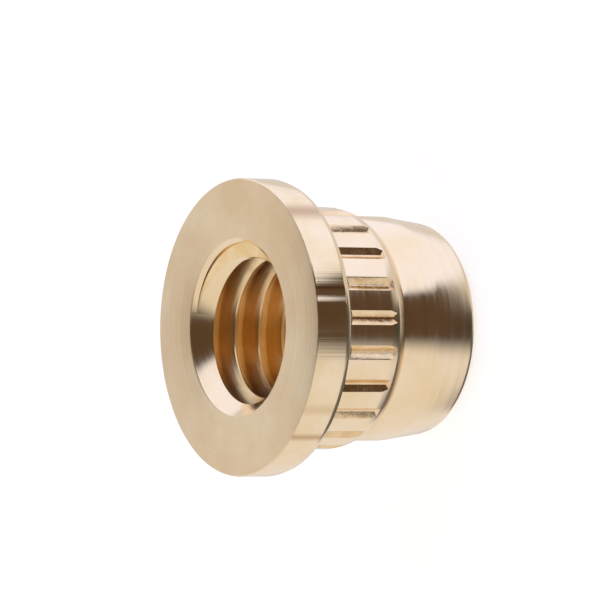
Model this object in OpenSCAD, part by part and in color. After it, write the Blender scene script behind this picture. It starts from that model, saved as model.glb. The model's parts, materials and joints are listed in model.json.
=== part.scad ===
// Flanged threaded insert, turned from one brass bar.
//
// The nose goes into a hole first. A smooth pilot centres the insert, a grooved band
// bites into the wall of the hole, and the flange lands on the surface around it.
// A screw then goes in from the flange's side.
//
// The insert stands on its nose with the flange on top. The origin is the centre of the
// flange's seating face, and +Z runs up the bore, the way the screw leaves.
// The bore is plain, at the thread's minor diameter.

/* [Thread] */
// Nominal diameter of the screw
screw_d = 6; // [4:0.1:7.2]
// Distance from one thread to the next
pitch = 1; // [0.5:0.05:1.5]
// How much wider than the screw the countersink at the flange is, across
countersink_extra = 0.3; // [0:0.05:2]
// How much wider than the screw the countersink at the nose is, across
nose_countersink_extra = 0.1; // [0:0.05:0.8]
// Included angle of both countersinks, in degrees
countersink_angle = 90; // [60:5:120]

/* [Flange] */
// Diameter of the flange
flange_d = 10.5; // [8.8:0.1:20]
// Thickness of the flange
flange_t = 1.4; // [0.6:0.05:2.7]
// How far the flange's radius falls at its two bevelled edges
flange_bevel = 0.08; // [0.02:0.01:0.3]
// Length of the bevel on the flange's rear edge, along the axis
flange_back_len = 0.22; // [0.02:0.02:1.2]

/* [Grip band] */
// How far the band stands out from the pilot, on each side
band_rise = 0.3; // [0.1:0.05:0.8]
// Length of the band, from the flange to its far edge
band_len = 2.67; // [1.6:0.01:3.95]
// Plain collar left between the flange and the grooves
collar_len = 0.6; // [0.1:0.05:1.5]
// Plain rim left between the grooves and the band's far edge
rim_len = 0.05; // [0.02:0.01:0.5]
// Length of the gentle slope where the band enters the hole
lead_len = 0.37; // [0.1:0.01:1]
// How far the band's radius falls along that slope
lead_drop = 0.08; // [0.02:0.01:0.28]
// Length of the steeper slope from the band's far edge down to the pilot
shoulder_len = 0.4; // [0.1:0.05:1.6]
// Number of grooves round the band
groove_count = 22; // [12:1:30]
// Depth of a groove
groove_depth = 0.16; // [0.05:0.01:0.5]
// Width of a groove at the band's surface
groove_w = 0.48; // [0.2:0.02:0.8]
// Width of a groove at its floor
groove_floor_w = 0.08; // [0.02:0.01:0.4]

/* [Pilot] */
// Diameter of the pilot
pilot_d = 8; // [7.2:0.05:9.5]
// Depth of the fine line turned at the foot of the slope
relief_depth = 0.04; // [0.01:0.01:0.4]
// Width of the line's far side
relief_w = 0.12; // [0.02:0.01:1.4]
// Length of the taper on the nose
taper_len = 1.75; // [0.6:0.05:3]
// Angle that the taper leans in by, in degrees
taper_angle = 8; // [2:0.5:14]
// Radius that rounds the tip
tip_round = 0.3; // [0.05:0.01:0.6]

/* [Overall] */
// Length of the whole insert
overall_len = 7.65; // [6.4:0.05:20]

/* [Hidden] */

$fn = 96;
// How far a cutter runs past the face that it opens
over = 0.5;
// Steps in a rounded corner
round_steps = 6;

// Radii
// A metric thread's minor diameter is the nominal one less 1.0825 pitches
bore_r = (screw_d - 1.0825 * pitch) / 2;
countersink_r = (screw_d + countersink_extra) / 2;
nose_countersink_r = (screw_d + nose_countersink_extra) / 2;
flange_r = flange_d / 2;
pilot_r = pilot_d / 2;
band_r = pilot_r + band_rise;
lead_r = band_r - lead_drop;
groove_floor_r = band_r - groove_depth;
relief_r = pilot_r - relief_depth;
tip_r = pilot_r - taper_len * tan(taper_angle);

// Heights, up from the seating face at zero
top_z = flange_t;
band_end_z = -band_len;
lead_z = band_end_z + lead_len;
foot_z = band_end_z - shoulder_len;
pilot_z = foot_z - relief_w;
tip_z = top_z - overall_len;
taper_z = tip_z + taper_len;

// The arc that rounds the tip touches the end face and the taper at tip_tangent from the
// corner that the two would make
tip_tangent = tip_round / tan((90 + taper_angle) / 2);
tip_centre = [tip_r - tip_tangent, tip_z + tip_round];

// Points on an arc from one angle to another
function arc(centre, radius, from, to) = [
    for (i = [0:round_steps])
        let (a = from + (to - from) * i / round_steps)
            centre + radius * [cos(a), sin(a)]
];

// Half of the turned outline, from the axis out, down the side and back
module outline() {
    polygon(concat(
        [
            [0, top_z],
            [flange_r - flange_bevel, top_z],
            [flange_r, top_z - flange_bevel],
            [flange_r, flange_back_len],
            [flange_r - flange_bevel, 0],
            [band_r, 0],
            [band_r, lead_z],
            [lead_r, band_end_z],
            [relief_r, foot_z],
            [pilot_r, pilot_z],
            [pilot_r, taper_z]
        ],
        arc(tip_centre, tip_round, -taper_angle, -90),
        [[0, tip_z]]
    ));
}

// Cuts one groove on the +X side. Its walls lean outwards and its two ends run out to
// the surface at 45 degrees, so the band is plain at both ends.
module groove_cutter() {
    groove_top_z = -collar_len;
    groove_end_z = band_end_z + rim_len;
    reach = groove_depth + over;
    // The width that the two leaning walls have grown to at the cutter's outer face
    reach_w = groove_floor_w + (groove_w - groove_floor_w) * reach / groove_depth;
    intersection() {
        translate([groove_floor_r, 0, band_end_z])
            linear_extrude(band_len)
                polygon([
                    [0, -groove_floor_w / 2],
                    [reach, -reach_w / 2],
                    [reach, reach_w / 2],
                    [0, groove_floor_w / 2]
                ]);
        translate([band_r, 0, 0])
            rotate([90, 0, 0])
                linear_extrude(reach_w + over, center = true)
                    polygon([
                        [-groove_depth, groove_top_z - groove_depth],
                        [over, groove_top_z + over],
                        [over, groove_end_z - over],
                        [-groove_depth, groove_end_z + groove_depth]
                    ]);
    }
}

// Cuts a countersink whose wide end, of radius mouth_r, lies in the plane z = 0
module countersink_cutter(mouth_r) {
    flare = tan(countersink_angle / 2);
    depth = (mouth_r - bore_r) / flare;
    translate([0, 0, -depth])
        cylinder(r1 = bore_r, r2 = mouth_r + over * flare, h = depth + over);
}

module insert() {
    color("#d8b47c")
        difference() {
            rotate_extrude() outline();
            translate([0, 0, tip_z - over])
                cylinder(r = bore_r, h = overall_len + 2 * over);
            translate([0, 0, top_z])
                countersink_cutter(countersink_r);
            translate([0, 0, tip_z])
                mirror([0, 0, 1])
                    countersink_cutter(nose_countersink_r);
            for (i = [0:groove_count - 1])
                rotate(i * 360 / groove_count)
                    groove_cutter();
        }
}

insert();
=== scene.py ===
"""A flanged threaded insert of turned brass, standing on its nose with the flange on top.

One closed mesh stands for the CAD node. Its outline is spun like the work on a lathe, then the
grooves of the grip band and the thread are cut into it, as the rolling tool and the tap do.
All lengths named here are millimetres, and MM turns them into Blender's metres.
"""

import json
import math

import bpy
from mathutils import Matrix, Vector


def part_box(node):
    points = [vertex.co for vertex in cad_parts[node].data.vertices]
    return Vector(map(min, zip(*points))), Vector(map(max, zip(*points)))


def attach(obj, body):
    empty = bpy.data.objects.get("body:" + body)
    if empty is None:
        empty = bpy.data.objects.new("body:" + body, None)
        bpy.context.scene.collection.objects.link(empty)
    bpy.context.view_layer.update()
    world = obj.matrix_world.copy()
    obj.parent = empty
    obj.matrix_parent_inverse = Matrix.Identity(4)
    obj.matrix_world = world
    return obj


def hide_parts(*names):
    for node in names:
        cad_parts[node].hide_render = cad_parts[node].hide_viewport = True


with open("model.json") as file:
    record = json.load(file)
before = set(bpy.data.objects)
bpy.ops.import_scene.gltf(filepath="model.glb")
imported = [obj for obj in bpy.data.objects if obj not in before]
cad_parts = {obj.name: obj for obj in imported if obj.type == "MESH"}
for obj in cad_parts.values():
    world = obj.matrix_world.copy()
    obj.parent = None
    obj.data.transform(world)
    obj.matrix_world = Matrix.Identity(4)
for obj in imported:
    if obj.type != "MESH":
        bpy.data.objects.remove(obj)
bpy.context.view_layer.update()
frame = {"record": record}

MM = 0.001
ORIGIN = (0.0, 0.0, 0.0)
AXIS = (0.0, 0.0, 1.0)

# ---------------------------------------------------------------- sizes

mounts = {mount["name"]: mount for mount in frame["record"]["mounts"]}
box_low, box_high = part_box("insert")

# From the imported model
TOP_Z = box_high.z / MM
TIP_Z = box_low.z / MM
FLANGE_R = box_high.x / MM
PILOT_R = mounts["pilot"]["dims"]["r_mm"]
BORE_R = mounts["thread"]["dims"]["r_mm"]

# Thread: a metric one, whose depth is a set share of its pitch
PITCH = 1.0
DEPTH_SHARE = 0.54125
SCREW_R = BORE_R + DEPTH_SHARE * PITCH
# How far above the tip a crest begins on the +X side, which turns the thread about the axis
THREAD_START = 0.86
# How far each countersink's rim lies outside the screw
COUNTERSINK_ROOM = 0.15
NOSE_COUNTERSINK_ROOM = 0.05
COUNTERSINK_R = SCREW_R + COUNTERSINK_ROOM
NOSE_COUNTERSINK_R = SCREW_R + NOSE_COUNTERSINK_ROOM

# Flange
FLANGE_BEVEL = 0.08
FLANGE_BACK_LEN = 0.22

# Grip band
BAND_RISE = 0.3
BAND_R = PILOT_R + BAND_RISE
BAND_LEN = 2.67
COLLAR_LEN = 0.6
RIM_LEN = 0.05
LEAD_LEN = 0.37
LEAD_DROP = 0.08
SHOULDER_LEN = 0.4
GROOVE_COUNT = 22
GROOVE_DEPTH = 0.16
GROOVE_W = 0.48
GROOVE_FLOOR_W = 0.08

# Nose
RELIEF_DEPTH = 0.04
RELIEF_W = 0.12
TAPER_LEN = 1.75
TAPER_ANGLE = math.radians(8)
TIP_ROUND = 0.3

# The roundings that are left on turned edges
FINE_EDGE = 0.03
SOFT_EDGE = 0.06

# The side of the insert that faces the camera, as a heading round the axis
NEAR_SIDE = math.radians(-87.2)

# The tap's own steps differ from the body's, so that no two edges run together
TURN_STEPS = 330
TAP_STEPS = 144
# How far inside the drilled hole the tap's foot lies
TAP_CLEARANCE = 0.001
# How far a cutter reaches past the body
OVER = 0.5

# How near two vertices lie to be one, while a piece is made and once it is finished or sawn, and
# how near an edge's ends lie to a ring to be part of it
MERGE = 0.0005
LAST_MERGE = 0.0001
ON_RING = 0.004
# Faces that meet at less than this are shaded as one
SMOOTH_UNDER = math.radians(28)


# ---------------------------------------------------------------- modelling by hand


def object_mode():
    """Leaves edit mode, if it is on."""
    if bpy.context.object and bpy.context.object.mode != "OBJECT":
        bpy.ops.object.mode_set(mode="OBJECT")


def pick_nothing():
    """Deselects every piece."""
    object_mode()
    bpy.ops.object.select_all(action="DESELECT")


def pick(piece, *others):
    """Leaves only these selected, with the first one active."""
    pick_nothing()
    for one in (piece, *others):
        one.select_set(True)
    bpy.context.view_layer.objects.active = piece


def edit(piece, kind):
    """Opens a piece with nothing in it selected. kind is VERT or EDGE."""
    pick(piece)
    bpy.ops.object.mode_set(mode="EDIT")
    bpy.ops.mesh.select_mode(type=kind)
    bpy.ops.mesh.select_all(action="DESELECT")


def select_ring(piece, radius, height):
    """Selects the edges that run round the axis at a radius and height."""
    edit(piece, "EDGE")
    object_mode()
    mesh = piece.data

    def on_ring(index):
        place = mesh.vertices[index].co
        off = (math.hypot(place.x, place.y) - radius * MM, place.z - height * MM)
        return math.hypot(*off) < ON_RING * MM

    for edge in mesh.edges:
        edge.select = on_ring(edge.vertices[0]) and on_ring(edge.vertices[1])
    bpy.ops.object.mode_set(mode="EDIT")


def drawn_line(name, points):
    """A chain of edges through (radius, height) points, grown from one vertex by extruding."""
    start = Vector((points[0][0], 0.0, points[0][1])) * MM
    pick_nothing()
    bpy.ops.mesh.primitive_plane_add(size=MM, location=start)
    line = bpy.context.object
    line.name = name
    bpy.ops.object.transform_apply(location=True, rotation=True, scale=True)
    bpy.ops.object.mode_set(mode="EDIT")
    bpy.ops.mesh.select_all(action="SELECT")
    bpy.ops.mesh.merge(type="CENTER")
    for here, there in zip(points, points[1:]):
        step = Vector((there[0] - here[0], 0.0, there[1] - here[1])) * MM
        bpy.ops.mesh.extrude_region_move(TRANSFORM_OT_translate={"value": step})
    object_mode()
    return line


def clean(piece, merge=MERGE):
    """Joins doubled vertices, drops loose edges and turns every face outwards."""
    edit(piece, "VERT")
    bpy.ops.mesh.select_all(action="SELECT")
    bpy.ops.mesh.remove_doubles(threshold=merge * MM)
    bpy.ops.mesh.delete_loose(use_verts=True, use_edges=True, use_faces=False)
    bpy.ops.mesh.select_all(action="SELECT")
    bpy.ops.mesh.normals_make_consistent(inside=False)
    object_mode()


def cut(piece, tool):
    """Cuts a tool's shape out of a piece. The cut faces keep the tool's material."""
    pick(piece)
    cutting = piece.modifiers.new("cut", "BOOLEAN")
    cutting.operation = "DIFFERENCE"
    cutting.solver = "EXACT"
    cutting.material_mode = "TRANSFER"
    cutting.object = tool
    bpy.ops.object.modifier_apply(modifier=cutting.name)
    bpy.data.objects.remove(tool)


# ---------------------------------------------------------------- the insert


def turned_blank():
    """The plain turned body with its drilled hole, one closed shell."""
    flare = COUNTERSINK_R - BORE_R
    nose_flare = NOSE_COUNTERSINK_R - BORE_R
    tip_r = PILOT_R - TAPER_LEN * math.tan(TAPER_ANGLE)
    # Corner by corner: radius, height, and the width and the steps of the rounding that the tool
    # leaves there, which catches a line of light
    corners = [
        (BORE_R, TOP_Z - flare, 0, 0),
        (COUNTERSINK_R, TOP_Z, FINE_EDGE, 2),
        (FLANGE_R, TOP_Z, FLANGE_BEVEL, 3),
        (FLANGE_R, FLANGE_BACK_LEN, FINE_EDGE, 2),
        (FLANGE_R - FLANGE_BEVEL, 0.0, FINE_EDGE, 2),
        (BAND_R, 0.0, 0, 0),
        (BAND_R, LEAD_LEN - BAND_LEN, SOFT_EDGE, 2),
        (BAND_R - LEAD_DROP, -BAND_LEN, SOFT_EDGE, 2),
        (PILOT_R - RELIEF_DEPTH, -BAND_LEN - SHOULDER_LEN, 0, 0),
        (PILOT_R, -BAND_LEN - SHOULDER_LEN - RELIEF_W, 0, 0),
        (PILOT_R, TIP_Z + TAPER_LEN, SOFT_EDGE, 2),
        (tip_r, TIP_Z, TIP_ROUND, 6),
        (NOSE_COUNTERSINK_R, TIP_Z, FINE_EDGE, 2),
        (BORE_R, TIP_Z + nose_flare, 0, 0),
    ]
    blank = drawn_line("insert_body", [corner[:2] for corner in corners + corners[:1]])
    edit(blank, "VERT")
    bpy.ops.mesh.select_all(action="SELECT")
    bpy.ops.mesh.spin(steps=TURN_STEPS, angle=math.tau, center=ORIGIN, axis=AXIS)
    clean(blank)
    for radius, height, width, steps in corners:
        if steps:
            select_ring(blank, radius, height)
            bpy.ops.mesh.bevel(offset=width * MM, segments=steps, profile=0.5, affect="EDGES")
    clean(blank)
    return blank


def groove_tool():
    """A ring of wedges round the band. Each leans out on all four sides, and flares at the top,
    so the groove that it leaves has slightly rounded edges. One is modelled and copied."""
    groove_len = BAND_LEN - COLLAR_LEN - RIM_LEN
    middle_z = -COLLAR_LEN - groove_len / 2
    # Distance from the axis, width round the band and length along it, floor first
    layers = [
        (BAND_R - GROOVE_DEPTH, GROOVE_FLOOR_W, groove_len - 2 * GROOVE_DEPTH),
        (BAND_R - FINE_EDGE, GROOVE_W - 2 * FINE_EDGE, groove_len - 2 * FINE_EDGE),
        (BAND_R, GROOVE_W + 2 * FINE_EDGE, groove_len + 2 * FINE_EDGE),
        (BAND_R + OVER, GROOVE_W + 2 * OVER, groove_len + 2 * OVER),
    ]
    pick_nothing()
    floor_x, width, length = layers[0]
    bpy.ops.mesh.primitive_plane_add(
        size=1, location=(floor_x * MM, 0, middle_z * MM), rotation=(0, math.pi / 2, 0)
    )
    wedge = bpy.context.object
    wedge.name = "wedge"
    wedge.scale = (length * MM, width * MM, 1)
    bpy.ops.object.transform_apply(location=True, rotation=True, scale=True)
    bpy.ops.object.mode_set(mode="EDIT")
    bpy.ops.mesh.select_all(action="SELECT")
    for (x, width, length), (next_x, next_width, next_length) in zip(layers, layers[1:]):
        out = ((next_x - x) * MM, 0, 0)
        bpy.ops.mesh.extrude_region_move(TRANSFORM_OT_translate={"value": out})
        bpy.ops.transform.resize(
            value=(1, next_width / width, next_length / length),
            center_override=(next_x * MM, 0, middle_z * MM),
        )
    object_mode()
    clean(wedge)
    wedges = [wedge]
    for number in range(1, GROOVE_COUNT):
        twin = wedge.copy()
        twin.data = wedge.data.copy()
        bpy.context.scene.collection.objects.link(twin)
        twin.rotation_euler.z = math.tau * number / GROOVE_COUNT
        wedges.append(twin)
    pick(*wedges)
    bpy.ops.object.transform_apply(location=True, rotation=True, scale=True)
    bpy.ops.object.join()
    return wedge


def tap():
    """The thread's cutter: one pitch of its outline, run up a right-hand screw line."""
    crest_flat = PITCH / 16
    root_flat = PITCH / 4
    # Each crest has its corners taken off, which leaves a line of light along it
    corner_len = 0.04
    corner_depth = 0.023
    flank_len = (PITCH - crest_flat - root_flat) / 2 - corner_len
    foot_r = BORE_R - TAP_CLEARANCE
    # Extra turns below the nose and above the flange, so that the body meets whole thread only
    run_in = 3
    run_out = 2
    start_z = TIP_Z - run_in * PITCH + THREAD_START
    root_z = start_z + crest_flat + corner_len + flank_len
    turns = math.ceil((TOP_Z - TIP_Z) / PITCH) + run_in + run_out
    outline = [
        (foot_r, start_z),
        (foot_r, start_z + crest_flat),
        (foot_r + corner_depth, start_z + crest_flat + corner_len),
        (SCREW_R, root_z),
        (SCREW_R, root_z + root_flat),
        (foot_r + corner_depth, start_z + PITCH - corner_len),
        (foot_r, start_z + PITCH),
    ]
    cutter = drawn_line("tap", outline)
    winding = cutter.modifiers.new("winding", "SCREW")
    winding.axis = "Z"
    winding.angle = math.tau
    winding.screw_offset = PITCH * MM
    winding.iterations = turns
    winding.steps = TAP_STEPS
    winding.render_steps = TAP_STEPS
    winding.use_smooth_shade = False
    pick(cutter)
    bpy.ops.object.modifier_apply(modifier=winding.name)
    clean(cutter)

    # Both ends are sawn flat, clear of the body
    for height, up in ((TOP_Z + OVER, 1), (TIP_Z - OVER, -1)):
        edit(cutter, "VERT")
        bpy.ops.mesh.select_all(action="SELECT")
        bpy.ops.mesh.bisect(
            plane_co=(0, 0, height * MM),
            plane_no=(0, 0, up),
            use_fill=True,
            clear_outer=True,
            threshold=LAST_MERGE * MM,
        )
    clean(cutter)
    return cutter


# ---------------------------------------------------------------- colour and nodes


def linear(code):
    """An sRGB hex colour, made linear."""
    shares = [int(code[start:start + 2], 16) / 255 for start in (1, 3, 5)]
    return [s / 12.92 if s <= 0.04045 else ((s + 0.055) / 1.055) ** 2.4 for s in shares] + [1.0]


def add(tree, kind, settings=None, inputs=None):
    """Adds a node with its settings. Each input, by name or number, takes a value or a link."""
    node = tree.nodes.new(kind)
    for key, value in (settings or {}).items():
        setattr(node, key, value)
    for key, value in (inputs or {}).items():
        if isinstance(value, bpy.types.NodeSocket):
            tree.links.new(value, node.inputs[key])
        else:
            node.inputs[key].default_value = value
    return node


# Octaves of each pattern's noise, and the share that each one keeps of the one before
FILM_NOISE = {"Detail": 3.0, "Roughness": 0.55}
MARKS_NOISE = {"Detail": 4.0, "Roughness": 0.6}
# Noise lies mostly between these values, which are drawn out to the whole range
FILM_SPREAD = {"From Min": 0.35, "From Max": 0.65}
MARKS_SPREAD = {"From Min": 0.3, "From Max": 0.7}


def bare_brass(name, film, patch, follows, spacing, depth, gloss, stretch, grain, painted_streaks=()):
    """Brass with no coat on it.

    film is the pale and the deep colour of its oxide, drifting over patches about patch mm across.
    Tool marks follow a path ("radius", "height", "round" or "place"), spaced and deep in mm, and
    take the roughness from the first gloss value to the second. stretch draws reflections out
    along the grain ("axis" or "outward"). painted_streaks are (angle, half width, shade, depth)
    streaks along the bar, at degrees round from the near side, on the near half only: their
    colours are painted reflections of the surroundings' light and shade, and a depth dents the
    surface as well.

    A colour Mix takes its two colours at inputs 6 and 7, and gives the result at output 2.
    """
    material = bpy.data.materials.new(name)
    material.use_nodes = True
    tree = material.node_tree
    shader = tree.nodes["Principled BSDF"]
    shader.inputs["Metallic"].default_value = 1.0
    shader.inputs["Anisotropic"].default_value = stretch
    object_place = add(tree, "ShaderNodeTexCoord").outputs["Object"]
    place = add(
        tree, "ShaderNodeMapping", {}, {"Vector": object_place, "Scale": (1 / MM, 1 / MM, 1 / MM)}
    ).outputs["Vector"]
    height = add(tree, "ShaderNodeSeparateXYZ", {}, {"Vector": place}).outputs["Z"]
    outward = add(
        tree, "ShaderNodeVectorMath", {"operation": "MULTIPLY"}, {0: place, 1: (1, 1, 0)}
    ).outputs["Vector"]
    radius = add(
        tree, "ShaderNodeVectorMath", {"operation": "LENGTH"}, {0: outward}
    ).outputs["Value"]
    along = outward
    if grain == "axis":
        along = add(tree, "ShaderNodeCombineXYZ", {}, {"Z": 1.0}).outputs["Vector"]
    tree.links.new(along, shader.inputs["Tangent"])

    # Colour, with the streaks along the bar painted in as reflections of light and shade, which are
    # also dents where a depth is given
    cloud = add(
        tree, "ShaderNodeTexNoise", {}, {"Vector": place, "Scale": 1 / patch, **FILM_NOISE}
    ).outputs["Fac"]
    drift = add(
        tree, "ShaderNodeMapRange", {}, {"Value": cloud, **FILM_SPREAD}
    ).outputs["Result"]
    colour = add(
        tree,
        "ShaderNodeMix",
        {"data_type": "RGBA"},
        {"Factor": drift, 6: linear(film[0]), 7: linear(film[1])},
    ).outputs[2]
    dents = None
    # Each streak lays its painted reflection colour over the near half at its angle, and its depth
    # dents the surface
    for angle, half_width, shade, dent in painted_streaks:
        heading = NEAR_SIDE + math.radians(angle)
        side = Vector((-math.sin(heading), math.cos(heading), 0))
        front = Vector((math.cos(heading), math.sin(heading), 0))
        aside = add(
            tree, "ShaderNodeVectorMath", {"operation": "DOT_PRODUCT"}, {0: place, 1: side}
        ).outputs["Value"]
        ahead = add(
            tree, "ShaderNodeVectorMath", {"operation": "DOT_PRODUCT"}, {0: place, 1: front}
        ).outputs["Value"]
        in_front = add(
            tree, "ShaderNodeMath", {"operation": "GREATER_THAN"}, {0: ahead, 1: 0.0}
        ).outputs["Value"]
        off = add(tree, "ShaderNodeMath", {"operation": "ABSOLUTE"}, {0: aside}).outputs["Value"]
        streak_mask = add(
            tree,
            "ShaderNodeMapRange",
            {"interpolation_type": "SMOOTHSTEP"},
            {"Value": off, "From Min": half_width, "From Max": 0.0, "To Max": in_front},
        ).outputs["Result"]
        colour = add(
            tree,
            "ShaderNodeMix",
            {"data_type": "RGBA"},
            {"Factor": streak_mask, 6: colour, 7: linear(shade)},
        ).outputs[2]
        dents = add(
            tree,
            "ShaderNodeMath",
            {"operation": "MULTIPLY_ADD"},
            {0: streak_mask, 1: -dent, 2: dents or 0.0},
        ).outputs["Value"]
    tree.links.new(colour, shader.inputs["Base Color"])

    # Tool marks, in the gloss and in the relief
    path = {"radius": radius, "height": height, "round": outward, "place": place}[follows]
    if follows in ("radius", "height"):
        path = add(tree, "ShaderNodeCombineXYZ", {}, {"X": path}).outputs["Vector"]
    marks = add(
        tree, "ShaderNodeTexNoise", {}, {"Vector": path, "Scale": 1 / spacing, **MARKS_NOISE}
    ).outputs["Fac"]
    polish = add(
        tree,
        "ShaderNodeMapRange",
        {},
        {"Value": marks, **MARKS_SPREAD, "To Min": gloss[0], "To Max": gloss[1]},
    ).outputs["Result"]
    tree.links.new(polish, shader.inputs["Roughness"])
    surface = add(
        tree,
        "ShaderNodeMath",
        {"operation": "MULTIPLY_ADD"},
        {0: marks, 1: depth, 2: dents or 0.0},
    ).outputs["Value"]
    bump = add(tree, "ShaderNodeBump", {}, {"Height": surface, "Distance": MM})
    tree.links.new(bump.outputs["Normal"], shader.inputs["Normal"])
    return material


# ---------------------------------------------------------------- finishes

# Free-cutting brass, faced on the lathe: satin, with faint rings about the axis, so the light
# fans out across it. A fine cut leaves a ring about each 0.05 mm, drawn at 0.2 mm so that it
# shows.
faced_brass = bare_brass(
    name="faced_brass",
    film=("#F9E2BE", "#F0D2A9"),
    patch=2.6,
    follows="radius",
    spacing=0.2,
    depth=0.0025,
    gloss=(0.24, 0.36),
    stretch=0.5,
    grain="outward",
)

# The same brass, turned: bright, with fine rings round the axis that draw each reflection out
# along it. The marks of a fine feed are about 0.05 mm apart, drawn at 0.25 mm so that they show.
turned_brass = bare_brass(
    name="turned_brass",
    film=("#F8DFBD", "#F3D7AB"),
    patch=2.2,
    follows="height",
    spacing=0.25,
    depth=0.006,
    gloss=(0.1, 0.26),
    stretch=0.6,
    grain="axis",
)

# Brass bar as it was drawn through the die, left on the flange's rim: bright, with the die's
# scratches along the bar. The scratches are taken as 0.1 mm apart, drawn at 0.3 mm so that they
# show. Five streaks along the bar are painted reflections, given one by one: a broad brown one
# and a thin one of painted shade, a pale one of painted light over a dent beside it, and two
# brownish ones of painted shade over shallow dents.
drawn_brass = bare_brass(
    name="drawn_brass",
    film=("#F8E0BE", "#F0D4A6"),
    patch=2.0,
    follows="round",
    spacing=0.3,
    depth=0.008,
    gloss=(0.1, 0.24),
    stretch=0.3,
    grain="axis",
    # Painted streaks of reflected light and shade: (degrees from the near side, half width, painted
    # colour, dent depth)
    painted_streaks=(
        (51.0, 0.6, "#C9A883", 0.0),
        (16.0, 0.12, "#C9A07A", 0.0),
        (13.0, 0.31, "#F6DDB9", 0.034),
        (-32.5, 0.35, "#E6C9A0", 0.002),
        (-46.0, 0.25, "#CFAE84", 0.002),
    ),
)

# Brass pressed into grooves by a knurling wheel: burnished, a little lumpy. The lumps' size is
# taken as 0.2 mm.
rolled_brass = bare_brass(
    name="rolled_brass",
    film=("#F6DAB2", "#E8C593"),
    patch=0.6,
    follows="place",
    spacing=0.2,
    depth=0.012,
    gloss=(0.14, 0.32),
    stretch=0.0,
    grain="axis",
)

# Brass cut by a tap: bright flanks scored along the thread, with the scores taken as 0.08 mm
# apart. The colour is a deeper one, as light goes from side to side in the hole.
tapped_brass = bare_brass(
    name="tapped_brass",
    film=("#F9DEB2", "#F0CD93"),
    patch=0.8,
    follows="radius",
    spacing=0.08,
    depth=0.003,
    gloss=(0.14, 0.3),
    stretch=0.4,
    grain="outward",
)


# ---------------------------------------------------------------- the finished insert


def give_finish(piece, material, wanted):
    """Gives a material to the faces whose middle, as (radius, height) in millimetres, is wanted."""
    piece.data.materials.append(material)
    slot = len(piece.data.materials) - 1
    for face in piece.data.polygons:
        middle = face.center / MM
        if wanted(math.hypot(middle.x, middle.y), middle.z):
            face.material_index = slot


body = turned_blank()
give_finish(body, turned_brass, lambda radius, height: True)
give_finish(body, faced_brass, lambda radius, height: height > TOP_Z - FINE_EDGE)
give_finish(body, drawn_brass, lambda radius, height: radius > FLANGE_R - FLANGE_BEVEL / 2)
wedges = groove_tool()
wedges.data.materials.append(rolled_brass)
cut(body, wedges)
screw_tap = tap()
screw_tap.data.materials.append(tapped_brass)
cut(body, screw_tap)
clean(body, merge=LAST_MERGE)
pick(body)
bpy.ops.object.shade_smooth_by_angle(angle=SMOOTH_UNDER)

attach(body, "root")
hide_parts("insert")

# ---------------------------------------------------------------- camera

# The camera looks down on the flange from well off the axis, and is turned on its side, so that
# the axis lies level in its view with the nose to the right
OFF_AXIS = math.radians(57.2)
ROLL = math.radians(0.65)
CAMERA_DISTANCE = 210.9
LENS = 360.0
SENSOR_W = 36.0
NEAREST_SEEN = 10.0
# Where the middle of the flange's face lies, right of and above the middle of the view
FACE_RIGHT = -2.207
FACE_UP = -0.963

near_side = Vector((math.cos(NEAR_SIDE), math.sin(NEAR_SIDE), 0))
axis = Vector(AXIS)
back = math.cos(OFF_AXIS) * axis + math.sin(OFF_AXIS) * near_side
level_right = -math.sin(OFF_AXIS) * axis + math.cos(OFF_AXIS) * near_side
level_up = back.cross(level_right)
right = math.cos(ROLL) * level_right + math.sin(ROLL) * level_up
up = math.cos(ROLL) * level_up - math.sin(ROLL) * level_right

camera_data = bpy.data.cameras.new("camera")
camera = bpy.data.objects.new("camera", camera_data)
bpy.context.scene.collection.objects.link(camera)
camera_data.lens = LENS
camera_data.sensor_width = SENSOR_W
camera_data.clip_start = NEAREST_SEEN * MM
face_middle = Vector((0, 0, TOP_Z))
camera_place = face_middle + CAMERA_DISTANCE * back - FACE_RIGHT * right - FACE_UP * up
camera_turn = Matrix((right, up, back)).transposed()
camera.matrix_world = Matrix.Translation(camera_place * MM) @ camera_turn.to_4x4()
bpy.context.scene.camera = camera
bpy.context.scene.view_settings.view_transform = "Standard"

# ---------------------------------------------------------------- floor and light

# A card of white paper, matt. Its own glow keeps it pale, and the brass doesn't mirror it.
FLOOR_SIZE = 4000.0
CARD_ROUGHNESS = 0.9
CARD_GLOW = 0.55
pick_nothing()
bpy.ops.mesh.primitive_plane_add(size=FLOOR_SIZE * MM, location=(0, 0, TIP_Z * MM))
floor = bpy.context.object
floor.name = "floor"
floor.visible_glossy = False
floor.visible_shadow = False
card = bpy.data.materials.new("white_card")
card.use_nodes = True
card_shader = card.node_tree.nodes["Principled BSDF"]
card_shader.inputs["Base Color"].default_value = linear("#F4F4F2")
card_shader.inputs["Roughness"].default_value = CARD_ROUGHNESS
card_shader.inputs["Emission Color"].default_value = linear("#FFFFFF")
card_shader.inputs["Emission Strength"].default_value = CARD_GLOW
floor.data.materials.append(card)

# A light tent of cloth, told as the camera sees it: cool daylight from above, plain white cloth
# below, grey cloth behind, and an open slit in front, where the brass mirrors the dim room.
world = bpy.data.worlds.new("light_tent")
bpy.context.scene.world = world
world.use_nodes = True
tree = world.node_tree
tree.nodes.clear()
heading = add(tree, "ShaderNodeTexCoord").outputs["Generated"]

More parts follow.
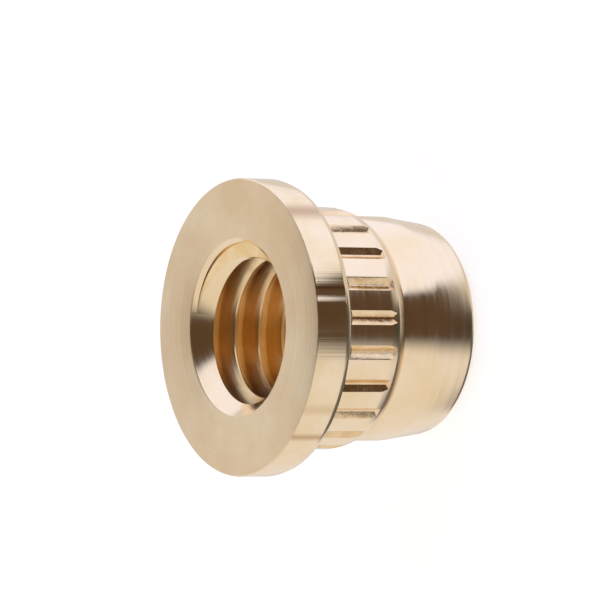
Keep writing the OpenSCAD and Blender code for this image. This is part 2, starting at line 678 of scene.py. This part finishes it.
# Each cloth: the way it lies, how near to that way it begins and is full, and its light
CLOTHS = (
    (level_up, 0.48, 0.60, (1.04, 1.11, 1.40)),
    (-level_up, 0.05, 0.40, (0.86, 0.86, 0.88)),
    (-back, -0.05, 0.22, (0.74, 0.74, 0.76)),
)
DIM_ROOM = (0.10, 0.064, 0.04)
light = DIM_ROOM
for direction, edge_from, edge_to, cloth in CLOTHS:
    lean = add(
        tree, "ShaderNodeVectorMath", {"operation": "DOT_PRODUCT"}, {0: heading, 1: direction}
    ).outputs["Value"]
    share = add(
        tree,
        "ShaderNodeMapRange",
        {"interpolation_type": "SMOOTHSTEP"},
        {"Value": lean, "From Min": edge_from, "From Max": edge_to},
    ).outputs["Result"]
    lit = add(
        tree, "ShaderNodeVectorMath", {"operation": "SCALE"}, {0: cloth, "Scale": share}
    ).outputs["Vector"]
    light = add(
        tree, "ShaderNodeVectorMath", {"operation": "MAXIMUM"}, {0: lit, 1: light}
    ).outputs["Vector"]

# Gaps in the cloth, one to the right of the insert and one to its right, behind and below: the
# way each lies and its two edges. They give dark lines to the flange's rear edge, the slope
# behind the band and the nose's tip.
GAPS = (
    (0.97 * right - 0.26 * back, 0.955, 0.985),
    (0.69 * right - 0.63 * back - 0.36 * level_up, 0.92, 0.96),
)
# The share of the light that is left in a gap
LEFT_IN_GAP = 0.15
for direction, edge_from, edge_to in GAPS:
    lean = add(
        tree, "ShaderNodeVectorMath", {"operation": "DOT_PRODUCT"}, {0: heading, 1: direction}
    ).outputs["Value"]
    left_over = add(
        tree,
        "ShaderNodeMapRange",
        {"interpolation_type": "SMOOTHSTEP"},
        {
            "Value": lean,
            "From Min": edge_from,
            "From Max": edge_to,
            "To Min": 1.0,
            "To Max": LEFT_IN_GAP,
        },
    ).outputs["Result"]
    light = add(
        tree, "ShaderNodeVectorMath", {"operation": "SCALE"}, {0: light, "Scale": left_over}
    ).outputs["Vector"]
tent_light = add(tree, "ShaderNodeBackground", {}, {"Color": light}).outputs["Background"]
plain_light = add(
    tree, "ShaderNodeBackground", {}, {"Color": linear("#FFFFFF")}
).outputs["Background"]
seen = add(tree, "ShaderNodeLightPath").outputs["Is Camera Ray"]
shown = add(
    tree, "ShaderNodeMixShader", {}, {0: seen, 1: tent_light, 2: plain_light}
).outputs["Shader"]
add(tree, "ShaderNodeOutputWorld", {}, {"Surface": shown})
